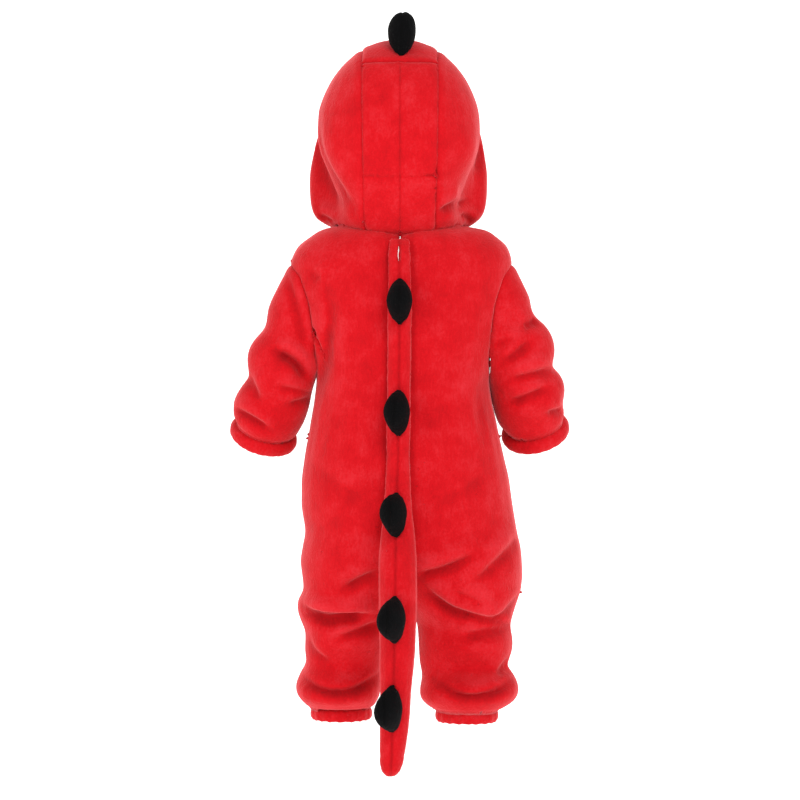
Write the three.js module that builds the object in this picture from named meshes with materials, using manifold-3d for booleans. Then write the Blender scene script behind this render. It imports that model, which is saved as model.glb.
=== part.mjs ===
// A toddler's hooded dragon onesie in plush, hollow and in the pose it is worn in.
// Millimetres, +Z up. The front faces -Y and the wearer's left is +X.
// The origin is in the middle of the neck, level with the shoulders, where the garment hangs on its wearer.
//
// Every cloth piece is a wall cut from a lofted tube: two body halves that become the legs, two sleeves
// and a hood. Seam lines are cut through the walls, so neighbours share one surface and stay 0.3 mm apart.
import * as THREE from "three";
import { mergeVertices } from "three/addons/utils/BufferGeometryUtils.js";
import Module from "manifold-3d";

const wasm = await Module();
wasm.setup();

// Driving sizes
const CLOTH = 3; // plush wall, its short pile included
const SEAM_GAP = 0.3; // between pieces that are sewn together
const HALF_GAP = SEAM_GAP / 2;
const FAR = 400; // reach of the cutters, past the whole garment
const BODY_SIDES = 24; // points round a body half
const SLEEVE_SIDES = 18;
const HOOD_SIDES = 30;

const RED = new THREE.MeshStandardMaterial({ color: 0xd0202b, roughness: 0.95, metalness: 0 });
const BLACK = new THREE.MeshStandardMaterial({ color: 0x0d0d0f, roughness: 0.9, metalness: 0 });
const WHITE = new THREE.MeshStandardMaterial({ color: 0xf2f0ec, roughness: 1, metalness: 0 });
const WEBBING = new THREE.MeshStandardMaterial({ color: 0xb81a24, roughness: 0.8, metalness: 0 });
const METAL = new THREE.MeshStandardMaterial({ color: 0xb9bcc0, roughness: 0.3, metalness: 1 });

// Names the columns of a table, so that each row reads as one section.
const table = (columns, ...rows) =>
  rows.map((row) => Object.fromEntries(columns.map((name, i) => [name, row[i]])));

// Solids

function solidOf(geometry) {
  const bare = geometry.clone();
  bare.deleteAttribute("normal");
  bare.deleteAttribute("uv");
  const merged = mergeVertices(bare, 1e-4);
  return new wasm.Manifold(
    new wasm.Mesh({
      numProp: 3,
      vertProperties: new Float32Array(merged.attributes.position.array),
      triVerts: new Uint32Array(merged.index.array),
    }),
  );
}

function meshOf(name, solid, material) {
  const { vertProperties, triVerts } = solid.getMesh();
  const geometry = new THREE.BufferGeometry();
  geometry.setAttribute("position", new THREE.BufferAttribute(new Float32Array(vertProperties), 3));
  geometry.setIndex(new THREE.BufferAttribute(new Uint32Array(triVerts), 1));
  const mesh = new THREE.Mesh(geometry, material);
  mesh.name = name;
  return mesh;
}

// A closed solid from triangles, turned round if its faces point inwards.
function solidFromFaces(points, faces) {
  const volume = faces.reduce((sum, [a, b, c]) => {
    const cross = new THREE.Vector3().crossVectors(points[b], points[c]);
    return sum + points[a].dot(cross);
  }, 0);
  const turned = volume < 0 ? faces.map(([a, b, c]) => [a, c, b]) : faces;
  const geometry = new THREE.BufferGeometry();
  geometry.setAttribute(
    "position",
    new THREE.BufferAttribute(new Float32Array(points.flatMap((p) => [p.x, p.y, p.z])), 3),
  );
  geometry.setIndex(turned.flat());
  return solidOf(geometry);
}

const centreOf = (ring) =>
  ring.reduce((sum, p) => sum.add(p), new THREE.Vector3()).divideScalar(ring.length);

// A solid through rings of equal count, closed by a fan at each end.
function loft(rings) {
  const count = rings[0].length;
  const points = rings.flat();
  const faces = [];
  for (let r = 0; r + 1 < rings.length; r++) {
    for (let i = 0; i < count; i++) {
      const here = r * count + i;
      const next = r * count + ((i + 1) % count);
      faces.push([here, next, next + count], [here, next + count, here + count]);
    }
  }
  const last = (rings.length - 1) * count;
  const startHub = points.push(centreOf(rings[0])) - 1;
  const endHub = points.push(centreOf(rings[rings.length - 1])) - 1;
  for (let i = 0; i < count; i++) {
    const next = (i + 1) % count;
    faces.push([startHub, next, i], [endHub, last + i, last + next]);
  }
  return solidFromFaces(points, faces);
}

// A ring-shaped solid: each section is a closed profile, and the last section joins the first.
function loopLoft(sections) {
  const count = sections[0].length;
  const faces = [];
  sections.forEach((section, s) => {
    const after = (s + 1) % sections.length;
    for (let i = 0; i < count; i++) {
      const next = (i + 1) % count;
      faces.push([s * count + i, s * count + next, after * count + next]);
      faces.push([s * count + i, after * count + next, after * count + i]);
    }
  });
  return solidFromFaces(sections.flat(), faces);
}

// The rings of a tube moved along their own normals: inwards by a positive distance.
function insetRings(rings, distance) {
  const count = rings[0].length;
  const normalAt = (r, i) => {
    const along = rings[Math.min(r + 1, rings.length - 1)][i].clone().sub(rings[Math.max(r - 1, 0)][i]);
    const around = rings[r][(i + 1) % count].clone().sub(rings[r][(i + count - 1) % count]);
    return along.cross(around).normalize();
  };
  const middle = Math.floor(rings.length / 2);
  const outward = rings[middle][0].clone().sub(centreOf(rings[middle]));
  const sign = Math.sign(normalAt(middle, 0).dot(outward));
  return rings.map((ring, r) =>
    ring.map((p, i) => p.clone().addScaledVector(normalAt(r, i), -sign * distance)),
  );
}

// The same rings with one more ring past each open end, so that a hollow cuts right through.
function runPast(rings, { before, after }) {
  const moved = (ring, by) => ring.map((p) => p.clone().add(by));
  const grown = [...rings];
  if (before) grown.unshift(moved(rings[0], before));
  if (after) grown.push(moved(rings[rings.length - 1], after));
  return grown;
}

// A prism across the garment: an outline in (y, z) from one x to another.
function prismAlongX(outline, from, to) {
  const shape = new THREE.Shape(outline.map(([y, z]) => new THREE.Vector2(y, z)));
  const geometry = new THREE.ExtrudeGeometry(shape, { depth: to - from, bevelEnabled: false });
  const turn = new THREE.Matrix4().makeBasis(
    new THREE.Vector3(0, 1, 0),
    new THREE.Vector3(0, 0, 1),
    new THREE.Vector3(1, 0, 0),
  );
  return solidOf(geometry.applyMatrix4(turn).translate(from, 0, 0));
}

// A prism from front to back: an outline in (x, z) from one y back to a lower y.
function prismAlongY(outline, from, to) {
  const shape = new THREE.Shape(outline.map(([x, z]) => new THREE.Vector2(x, z)));
  const geometry = new THREE.ExtrudeGeometry(shape, { depth: from - to, bevelEnabled: false });
  const turn = new THREE.Matrix4().makeBasis(
    new THREE.Vector3(1, 0, 0),
    new THREE.Vector3(0, 0, 1),
    new THREE.Vector3(0, -1, 0),
  );
  return solidOf(geometry.applyMatrix4(turn).translate(0, from, 0));
}

const blockGeometry = (x0, x1, y0, y1, z0, z1) =>
  new THREE.BoxGeometry(x1 - x0, y1 - y0, z1 - z0).translate((x0 + x1) / 2, (y0 + y1) / 2, (z0 + z1) / 2);

const boxOf = (...limits) => solidOf(blockGeometry(...limits));

// Body and legs. A half runs from the neck down to one ankle. Above the crotch its inner side lies just
// past the middle plane, inside the other half, and below it the section rounds off into a leg.
const MIDDLE = 3; // x of a body half's deepest line above the seat
const PAST_MIDDLE = -6; // how far a half reaches into the other one

const TORSO = table(
  ["side", "sinkBack", "sinkFront", "left", "right", "back", "front", "power"],
  [16, 10.5, 24, 72, 72, 57, -55, 2.0],
  [10, 12, 28, 93, 101, 65, -63, 2.1],
  [-6, 8, 25, 115, 121, 71, -71, 2.2],
  [-23, 4, 21, 125.5, 128, 76, -78, 2.3],
  [-45, 1, 13, 122, 126, 80, -83, 2.35],
  [-75, 0, 5, 113, 118, 83, -88, 2.4],
  [-135, 0, 0, 97, 105, 86, -93, 2.4],
  [-160, 0, 0, 95, 102, 87, -94, 2.4],
  [-185, 0, 0, 98, 105, 88, -95, 2.4],
  [-240, 0, 0, 108, 117, 92, -97, 2.4],
  [-270, 0, 0, 112, 124, 94, -97, 2.4],
  [-302, 0, 0, 112, 128, 96, -96, 2.35],
);

const LEG_COLUMNS = ["side", "outer", "inner", "x", "back", "front", "innerPower"];
const LEFT_LEG = table(
  LEG_COLUMNS,
  [-331, 107.5, -6, 8, 97, -94, 6],
  [-348, 110.5, -6, 18, 96, -90, 6],
  [-365, 113, -5, 32, 92, -86, 5],
  [-382, 111, -1, 46, 85, -81, 4],
  [-398, 109.5, 3, 55, 76, -76, 3],
  [-409, 116, 5, 59, 75, -73, 2.6],
  [-420, 117, 7, 62, 72, -71, 2.4],
  [-433, 113, 9, 61, 59, -69, 2.3],
  [-447, 107.5, 13, 60, 60, -66, 2.3],
  [-465, 108.5, 16, 62, 52, -63, 2.3],
  [-482, 107, 20, 63, 42, -60, 2.3],
  [-494, 114, 21, 67, 50, -66, 2.3],
  [-508, 118.5, 22, 70, 56, -70, 2.3],
  [-519, 116, 24, 70, 53, -68, 2.3],
  [-527, 109, 28, 68, 42, -58, 2.2],
  [-532, 103, 31, 67, 30, -44, 2.0],
);
const RIGHT_LEG = table(
  LEG_COLUMNS,
  [-331, 133, -6, 8, 97, -94, 6],
  [-348, 137, -6, 18, 97, -90, 6],
  [-365, 138.5, -4, 32, 94, -86, 5],
  [-382, 139, 0, 48, 88, -80, 4],
  [-399, 137, 5, 60, 82, -74, 3],
  [-416, 131, 12, 68, 76, -67, 2.6],
  [-431, 127, 18, 71, 66, -60, 2.4],
  [-441, 125.5, 20, 72, 60, -56, 2.3],
  [-453, 128, 21, 73, 66, -53, 2.3],
  [-468, 127, 22, 74, 62, -48, 2.3],
  [-483, 121, 23, 73, 54, -43, 2.3],
  [-494, 129, 26, 76, 68, -42, 2.3],
  [-506, 134, 23, 78, 78, -40, 2.3],
  [-518, 131, 24, 78, 75, -36, 2.3],
  [-526, 122, 30, 77, 65, -27, 2.2],
  [-531, 112, 39, 75.5, 58, -14, 2.0],
);

const HALVES = {
  left: { sign: 1, edge: "left", leg: LEFT_LEG },
  right: { sign: -1, edge: "right", leg: RIGHT_LEG },
};

const power = (value, exponent) => Math.sign(value) * Math.abs(value) ** exponent;

function halfRings({ sign, edge, leg }) {
  const torso = TORSO.map((row) => ({
    ...row,
    outer: row[edge],
    inner: PAST_MIDDLE,
    x: MIDDLE,
    outerPower: row.power,
    innerPower: row.power,
  }));
  const legs = leg.map((row) => ({ ...row, sinkBack: 0, sinkFront: 0, outerPower: 2.3 }));
  return [...torso, ...legs].map((row) =>
    Array.from({ length: BODY_SIDES }, (_, i) => {
      const angle = (2 * Math.PI * i) / BODY_SIDES;
      const [c, s] = [Math.cos(angle), Math.sin(angle)];
      const reach = c >= 0 ? row.outer - row.x : row.x - row.inner;
      const exponent = 2 / (c >= 0 ? row.outerPower : row.innerPower);
      const depth = (row.back - row.front) / 2;
      const x = row.x + reach * power(c, exponent);
      return new THREE.Vector3(
        sign * x,
        (row.back + row.front) / 2 + depth * power(s, exponent),
        row.side - (s > 0 ? row.sinkBack : row.sinkFront) * (1 - (x / row.outer) ** 2),
      );
    }),
  );
}

// Both halves joined, their surface moved in by a distance. A hollow runs past the neck and the ankles.
const UP = new THREE.Vector3(0, 0, 20);
const DOWN = new THREE.Vector3(0, 0, -20);
function bodyAt(inset, hollow) {
  return Object.values(HALVES)
    .map((half) => insetRings(halfRings(half), inset))
    .map((rings) => loft(hollow ? runPast(rings, { before: UP, after: DOWN }) : rings))
    .reduce((whole, half) => whole.add(half));
}

// Sleeves: rings square to a bent arm line, which starts inside the shoulder.
const ARM_LINES = {
  left: [
    [87, 3, -13],
    [100, 4, -51],
    [117, 7, -103],
    [133, 2, -150],
    [146, -14, -188],
    [157, -31, -221],
  ],
  right: [
    [-89, 3, -13],
    [-103, 4, -51],
    [-121, 7, -103],
    [-137, 2, -150],
    [-148, -14, -188],
    [-156, -31, -218],
  ],
};
const SLEEVE_COLUMNS = ["at", "outer", "inner", "depth", "lean"];
const LEFT_SLEEVE = table(
  SLEEVE_COLUMNS,
  [0, 17, 17, 17, 0],
  [18, 28, 28, 29, 0],
  [40, 34.5, 35, 36, 2],
  [60, 37, 37, 37, 5],
  [77, 39.5, 38, 38, 8],
  [92, 39, 38, 38, 8],
  [108, 34.5, 38, 37, 8],
  [126, 43.5, 38, 40, 8],
  [142, 46, 38, 42, 8],
  [155, 42, 39, 40, 8],
  [167, 35.5, 41, 38, 8],
  [183, 41, 42, 40, 8],
  [199, 44.5, 40, 40, 6],
  [211, 41, 37, 38, 3],
  [218, 34, 33, 33, 0],
);
const RIGHT_SLEEVE = table(
  SLEEVE_COLUMNS,
  [0, 17, 17, 17, 0],
  [18, 28, 28, 29, 0],
  [40, 34.5, 35, 36, 2],
  [60, 36, 37, 37, 5],
  [76, 38, 38, 38, 8],
  [92, 34, 38, 37, 8],
  [107, 43, 38, 40, 8],
  [123, 48, 38, 42, 8],
  [138, 46.5, 38, 41, 8],
  [156, 36.5, 40, 38, 8],
  [170, 45, 41, 41, 8],
  [184, 44, 41, 40, 6],
  [197, 37.5, 40, 38, 4],
  [207, 38, 36, 37, 2],
  [214, 34, 33, 33, 0],
);
const SLEEVES = {
  left: { sign: 1, line: ARM_LINES.left, rows: LEFT_SLEEVE },
  right: { sign: -1, line: ARM_LINES.right, rows: RIGHT_SLEEVE },
};

// The place, the direction along the arm, and the two directions across it, at a distance down the arm.
function armFrame({ sign, line }, at) {
  const curve = new THREE.CatmullRomCurve3(line.map((p) => new THREE.Vector3(...p)));
  const share = Math.min(at / curve.getLength(), 1);
  const along = curve.getTangentAt(share);
  const place = curve.getPointAt(share).addScaledVector(along, Math.max(0, at - curve.getLength()));
  const across = new THREE.Vector3(sign, 0, 0).addScaledVector(along, -along.x * sign).normalize();
  return { place, along, across, back: new THREE.Vector3().crossVectors(along, across) };
}

function armRing(sleeve, { at, outer, inner, depth, lean }) {
  const { place, along, across, back } = armFrame(sleeve, at);
  const tilt = THREE.MathUtils.degToRad(lean);
  const leaned = across.clone().multiplyScalar(Math.cos(tilt)).addScaledVector(along, -Math.sin(tilt));
  return Array.from({ length: SLEEVE_SIDES }, (_, i) => {
    const angle = (2 * Math.PI * i) / SLEEVE_SIDES;
    const c = Math.cos(angle);
    return place
      .clone()
      .addScaledVector(leaned, c * (c > 0 ? outer : inner))
      .addScaledVector(back, Math.sin(angle) * depth);
  });
}

function sleeveAt(sleeve, inset, hollow) {
  const rings = insetRings(sleeve.rows.map((row) => armRing(sleeve, row)), inset);
  const end = sleeve.rows[sleeve.rows.length - 1].at;
  const past = armFrame(sleeve, end).along.clone().multiplyScalar(20);
  return loft(hollow ? runPast(rings, { after: past }) : rings);
}

// The cuff is a soft turned roll: its profile is given as (along the arm, radius).
const CUFF_PROFILE = table(
  ["along", "radius"],
  [0, 28.5],
  [0, 33],
  [3, 37.5],
  [9, 40],
  [15, 38.5],
  [18.5, 34.5],
  [17, 30],
  [8, 28],
);
function cuffOf(sleeve) {
  const start = sleeve.rows[sleeve.rows.length - 1].at + SEAM_GAP;
  const { place, along, across, back } = armFrame(sleeve, start);
  const sections = Array.from({ length: SLEEVE_SIDES }, (_, i) => {
    const angle = (2 * Math.PI * i) / SLEEVE_SIDES;
    const spoke = across.clone().multiplyScalar(Math.cos(angle)).addScaledVector(back, Math.sin(angle));
    return CUFF_PROFILE.map((row) =>
      place.clone().addScaledVector(along, row.along).addScaledVector(spoke, row.radius),
    );
  });
  return loopLoft(sections);
}

// The ankle band is a narrow elastic casing, gathered all round over a plain inside.
const BAND_GATHERS = 18;
const BAND_STEPS = 3; // points for each gather
const GATHER_DEPTH = 1.1;
const BAND_PROFILE = table(
  ["drop", "inset", "gathered"],
  [0, 6.5, 0],
  [0, 1, 1],
  [7, 0, 1],
  [15, 2.5, 0.6],
  [14.5, 6, 0],
);
function bandOf({ sign, leg }) {
  const hem = leg[leg.length - 1];
  const [middle, width] = [(hem.outer + hem.inner) / 2, (hem.outer - hem.inner) / 2];
  const [centre, depth] = [(hem.back + hem.front) / 2, (hem.back - hem.front) / 2];
  const count = BAND_GATHERS * BAND_STEPS;
  const sections = Array.from({ length: count }, (_, i) => {
    const angle = (2 * Math.PI * i) / count;
    const fold = GATHER_DEPTH * Math.cos((2 * Math.PI * (i % BAND_STEPS)) / BAND_STEPS);
    return BAND_PROFILE.map(({ drop, inset, gathered }) => {
      const sunk = inset - gathered * (fold - GATHER_DEPTH / 2);
      return new THREE.Vector3(
        sign * (middle + (width - sunk) * Math.cos(angle)),
        centre + (depth - sunk) * Math.sin(angle),
        hem.side - SEAM_GAP - drop,
      );
    });
  });
  return loopLoft(sections);
}

// Hood: level rings from the neck seam to the crown. Low down the back narrows to the nape, while the
// cloth beside the face hangs out in a lobe on each side. The face opening is cut out of the front.
const HOOD = table(
  [
    "side", "sinkBack", "sinkFront", "back", "shell", "shellY",
    "pinch", "lobe", "lobeY", "face", "faceY", "front",
  ],
  [23, 7, 17, 64, 66, 26, 74, 90, -16, 66, -56, -66],
  [31, 3, 8, 72, 66, 30, 76, 101, -24, 76, -70, -76],
  [46, 0, 0, 81, 67, 34, 74, 105, -30, 82, -80, -84],
  [63, 0, 0, 88, 76, 34, 78, 106, -34, 84, -86, -88],
  [80, 0, 0, 92, 84, 32, 82, 106, -38, 84, -89, -90],
  [97, 0, 0, 94, 91, 30, 86, 103, -40, 82, -91, -93],
  [114, 0, 0, 95, 93.5, 26, 91, 98.5, -38, 77, -91, -96],
  [131, 0, 0, 94, 93, 20, 93, 92, -34, 70, -89, -97],
  [148, 0, 0, 91, 91.5, 14, 92, 86, -36, 60, -86, -96],
  [165, 0, 0, 86, 86, 8, 87, 78, -40, 48, -82, -92],
  [182, 0, 0, 78, 78, 6, 78, 68, -38, 38, -72, -80],
  [198, 0, 0, 66, 66, 4, 66, 57, -34, 30, -58, -64],
  [211, 0, 0, 51, 51, 4, 51, 44, -24, 24, -42, -46],
  [220, 0, 0, 36, 36, 4, 36, 31, -16, 16, -28, -31],
  [226, 0, 0, 20, 19, 3, 19, 16, -8, 9, -13, -15],
);
const RIGHT_SIDE_SHARE = 0.97; // the hood hangs a little further out on the wearer's left

// One level of the hood as a smooth closed curve through named points of its left and right sides.
function hoodRing(row) {
  const half = [
    [row.shell * 0.58, row.back - 0.12 * (row.back - row.shellY)],
    [row.shell * 0.9, row.back - 0.5 * (row.back - row.shellY)],
    [row.shell, row.shellY],
    [row.pinch, (row.shellY + row.lobeY) / 2],
    [row.lobe, row.lobeY],
    [row.face, row.faceY],
    [row.face * 0.5, (row.faceY + 3 * row.front) / 4],
  ];
  const left = half.map(([x, y]) => new THREE.Vector2(x, y));
  const right = half.map(([x, y]) => new THREE.Vector2(-x * RIGHT_SIDE_SHARE, y)).reverse();
  const outline = [new THREE.Vector2(0, row.back), ...left, new THREE.Vector2(0, row.front), ...right];
  const curve = new THREE.CatmullRomCurve3(
    outline.map((p) => new THREE.Vector3(p.x, p.y, 0)),
    true,
    "centripetal",
  );
  return Array.from({ length: HOOD_SIDES }, (_, i) => {
    const point = curve.getPoint(i / HOOD_SIDES);
    const lean = point.y / (point.y > 0 ? row.back : row.front);
    const sink = point.y > 0 ? row.sinkBack : row.sinkFront;
    return point.setZ(row.side - sink * lean * lean);
  });
}

// The neck seam, seen from above an oval, which dips at the back and more at the front.
function neckRing(rise) {
  const neck = TORSO[0];
  return Array.from({ length: HOOD_SIDES }, (_, i) => {
    const angle = Math.PI / 2 - (2 * Math.PI * i) / HOOD_SIDES;
    const [c, s] = [Math.cos(angle), Math.sin(angle)];
    return new THREE.Vector3(
      c * neck.left,
      (neck.back + neck.front) / 2 + (s * (neck.back - neck.front)) / 2,
      neck.side + rise - s * s * (s > 0 ? neck.sinkBack : neck.sinkFront),
    );
  });
}

const hoodRings = [neckRing(SEAM_GAP), ...HOOD.map(hoodRing)];
const hoodOuter = loft(hoodRings);
const hoodHollow = loft(runPast(insetRings(hoodRings, CLOTH), { before: DOWN }));

const FACE_OPENING = table(
  ["z", "halfWidth"],
  [-30, 15],
  [-8, 18],
  [6, 30],
  [24, 46],
  [48, 60],
  [78, 67],
  [106, 65],
  [132, 52],
  [150, 32],
  [158, 12],
);
const faceCutter = prismAlongY(
  [
    ...FACE_OPENING.map(({ z, halfWidth }) => [halfWidth, z]),
    ...FACE_OPENING.map(({ z, halfWidth }) => [-halfWidth, z]).reverse(),
  ],
  -25,
  -FAR,
);
const hoodWall = hoodOuter.subtract(hoodHollow).subtract(faceCutter);

// Hood seams: a centre strip of several pieces between two sides.
const STRIP_TOP = 44; // half width of the strip over the crown
const STRIP_NECK = 40;
const CROWN_SEAM = 196; // height of the seam behind the spike
const NAPE_SEAM = 66;
const strip = (grow) =>
  prismAlongY(
    [
      [-STRIP_NECK - grow, -40],
      [STRIP_NECK + grow, -40],
      [STRIP_TOP + grow, 240],
      [-STRIP_TOP - grow, 240],
    ],
    FAR,
    -FAR,
  );
const underChin = boxOf(-60, 60, -FAR, 0, -40, 100); // cloth here belongs to the sides
const stripWall = hoodWall.intersect(strip(-HALF_GAP)).subtract(underChin);
const hoodSides = hoodWall.subtract(strip(HALF_GAP)).add(hoodWall.intersect(underChin));

const crown = stripWall.subtract(boxOf(-FAR, FAR, 0, FAR, -40, CROWN_SEAM + HALF_GAP));
const hoodBack = stripWall.intersect(
  boxOf(-FAR, FAR, 0, FAR, NAPE_SEAM + HALF_GAP, CROWN_SEAM - HALF_GAP),
);
const nape = stripWall.intersect(boxOf(-FAR, FAR, 0, FAR, -40, NAPE_SEAM - HALF_GAP));

const sideOfMiddle = {
  left: boxOf(HALF_GAP, FAR, -FAR, FAR, -700, FAR),
  right: boxOf(-FAR, -HALF_GAP, -FAR, FAR, -700, FAR),
};

// Body panels: the side seam and the inseam run down the middle of each side.
const SIDE_SEAMS = {
  left: [
    [0, FAR],
    [0, -300],
    [-2, -400],
    [-8, -470],
    [-7, -700],
  ],
  right: [
    [0, FAR],
    [0, -300],
    [4, -400],
    [14, -480],
    [22, -531],
    [22, -700],
  ],
};
const behindSeam = (line, shift) =>
  prismAlongX([...line.map(([y, z]) => [y + shift, z]), [FAR, -700], [FAR, FAR]], -FAR, FAR);

const bodyWall = bodyAt(0, false)
  .subtract(bodyAt(CLOTH, true))
  .subtract(sleeveAt(SLEEVES.left, CLOTH, true))
  .subtract(sleeveAt(SLEEVES.right, CLOTH, true));
const bodyClear = bodyAt(-SEAM_GAP, false);

// Front zip: the two fronts stop short of each other over a tape that lies just inside the cloth.
const ZIP_GAP = 4.5; // half of the gap between the fronts
const ZIP_END = -322;
const TAPE = { halfWidth: 13, thick: 1.2, clear: 0.9, top: -13, bottom: -321.5 };
const FRONT_POINT = (BODY_SIDES * 3) / 4; // the point of a ring that lies furthest forward
const zipSlot = boxOf(-ZIP_GAP, ZIP_GAP, -FAR, -20, ZIP_END, FAR);

// The tape follows the line down the middle of the front, a little inside the wall.
function tapeOf() {
  const rings = halfRings(HALVES.left).slice(0, TORSO.length + 2);
  const face = insetRings(rings, CLOTH + TAPE.clear);
  const back = insetRings(rings, CLOTH + TAPE.clear + TAPE.thick);
  const sections = rings.map((_, r) =>
    [
      [face, -TAPE.halfWidth],
      [face, TAPE.halfWidth],
      [back, TAPE.halfWidth],
      [back, -TAPE.halfWidth],
    ].map(([from, x]) => from[r][FRONT_POINT].clone().setX(x)),
  );
  return loft(sections).intersect(boxOf(-FAR, FAR, -FAR, -20, TAPE.bottom, TAPE.top));
}
const tape = tapeOf();

const panels = Object.keys(HALVES).flatMap((side) => {
  const half = bodyWall.intersect(sideOfMiddle[side]);
  return [
    [`front_${side}`, half.subtract(behindSeam(SIDE_SEAMS[side], -HALF_GAP)).subtract(zipSlot)],
    [`back_${side}`, half.intersect(behindSeam(SIDE_SEAMS[side], HALF_GAP))],
  ];
});

// Spine strip and tail: one narrow stuffed tube, sewn down the back and hanging free below the seat.
const TAIL_SIDES = 14;
const TAIL_SPLIT = -330;
const SPINE = table(
  ["z", "x", "y", "halfWidth", "halfDepth"],
  [-2, 0.5, 62, 12, 6],
  [-14, 0.5, 69, 13, 9],
  [-32, 0.5, 75.5, 13.3, 10],
  [-60, 0.5, 81, 13.3, 10],
  [-105, 0.5, 85, 13.3, 10],
  [-150, 1, 87, 13.2, 10],
  [-195, 1.5, 89, 13, 10],
  [-240, 2, 92, 13, 10],
  [-285, 2.3, 95.5, 14.5, 11],
  [-312, 2.5, 99, 16.5, 13],
  [TAIL_SPLIT, 2.5, 103, 18.5, 15],
);
const TAIL = table(
  ["z", "x", "y", "halfWidth", "halfDepth"],
  [TAIL_SPLIT - SEAM_GAP, 2.5, 103, 18.5, 15],
  [-358, 2.3, 111, 21, 18.5],
  [-385, 2.3, 117, 21.5, 19.5],
  [-415, 2.4, 121, 21, 19.5],
  [-450, 3, 123, 19.8, 18.5],
  [-485, 4, 123, 18.2, 17],
  [-520, 5.3, 121.5, 16.6, 15.5],
  [-550, 7, 119.5, 15, 14],
  [-572, 8.8, 118, 13.8, 12.8],
  [-584, 9.8, 117, 12, 11],
  [-591, 10.3, 116.5, 8.5, 8],
  [-594, 10.5, 116.3, 3.5, 3.2],
);
const stuffedRing = ({ z, x, y, halfWidth, halfDepth }) =>
  Array.from({ length: TAIL_SIDES }, (_, i) => {
    const angle = (2 * Math.PI * i) / TAIL_SIDES;
    return new THREE.Vector3(x + halfWidth * Math.cos(angle), y + halfDepth * Math.sin(angle), z);
  });

// The strip's centre seam has come open below the neck, and shows its white filling.
const SLIT = { x: 1.7, top: -9, bottom: -30, halfWidth: 1.9, depth: 7 };
const slitOutline = (grow) => {
  const middle = (SLIT.top + SLIT.bottom) / 2;
  const half = (SLIT.top - SLIT.bottom) / 2 + grow;
  const wide = SLIT.halfWidth + grow;
  return [
    [SLIT.x, middle - half],
    [SLIT.x + wide, middle - half * 0.25],
    [SLIT.x + wide * 0.6, middle + half * 0.5],
    [SLIT.x, middle + half],
    [SLIT.x - wide * 0.8, middle + half * 0.35],
    [SLIT.x - wide * 0.7, middle - half * 0.4],
  ];
};
const spineShape = loft(SPINE.map(stuffedRing)).subtract(bodyClear);
const slitFloor = bodyAt(-SEAM_GAP - 3.5, false); // the pocket stops this far above the back
const spineStrip = spineShape.subtract(prismAlongY(slitOutline(0), FAR, 0).subtract(slitFloor));
const fillingInside = loft(SPINE.map((row) => stuffedRing({ ...row, halfDepth: row.halfDepth - 0.6 })));
const slitFilling = prismAlongY(slitOutline(-SEAM_GAP), FAR, 0)
  .intersect(fillingInside)
  .subtract(bodyAt(-SEAM_GAP - 3.8, false));
const tail = loft(TAIL.map(stuffedRing)).subtract(bodyClear);

// Spikes: stuffed fins, pointed at both ends of the base seam, which runs up the back.
const SPIKE_SIDES = 12;
const SPIKE_SECTIONS = 8;
const SPIKE_ROOT = 5; // how far the fin runs in below the surface before it is trimmed to it
const SPIKES = table(
  ["name", "x", "y", "z", "turn", "halfLength", "halfWidth", "height", "lean"],
  ["spike_hood", -1.5, 39, 214.5, 61, 28, 16, 43, -2],
  ["spike_neck", 0.3, 91, -73, 2, 26.5, 14.5, 38, 1],
  ["spike_back", 1.3, 98.5, -196, 3, 26.5, 14.5, 38, 7],
  ["spike_seat", 4, 110.5, -309.5, 12, 26.5, 14.5, 38, 9.5],
  ["spike_tail", 5.5, 141, -421, 3, 26.5, 14.5, 38, 12],
  ["spike_tip", 8.5, 137.5, -518, -3, 26.5, 14.5, 36, 12],
);

// Sections run along the base. The fin stands out along +Y and is then tipped back by turn degrees about X.
function spikeOf({ x, y, z, turn, halfLength, halfWidth, height, lean }) {
  const rings = Array.from({ length: SPIKE_SECTIONS }, (_, k) => {
    const share = -1 + (2 * (k + 0.12)) / (SPIKE_SECTIONS - 1 + 0.24);
    const wide = halfWidth * (1 - share * share) ** 0.75;
    const tall = height * (1 - Math.abs(share) ** 2.2) ** 0.85;
    return Array.from({ length: SPIKE_SIDES }, (_, i) => {
      const angle = (2 * Math.PI * i) / SPIKE_SIDES;
      const out = (tall - SPIKE_ROOT) / 2 + ((tall + SPIKE_ROOT) / 2) * Math.sin(angle);
      const slide = lean * Math.max(0, out / height) ** 1.3;
      return new THREE.Vector3(wide * Math.cos(angle) + slide, out, share * halfLength);
    });
  });
  const stand = new THREE.Matrix4()
    .makeTranslation(x, y, z)
    .multiply(new THREE.Matrix4().makeRotationX(THREE.MathUtils.degToRad(turn)));
  return loft(rings.map((ring) => ring.map((p) => p.applyMatrix4(stand))));
}
const grownRing = (row) =>
  stuffedRing({ ...row, halfWidth: row.halfWidth + SEAM_GAP, halfDepth: row.halfDepth + SEAM_GAP });
const carriers = loft(insetRings(hoodRings, -SEAM_GAP))
  .add(loft(SPINE.map(grownRing)))
  .add(loft(TAIL.map(grownRing)))
  .add(bodyClear);

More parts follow.
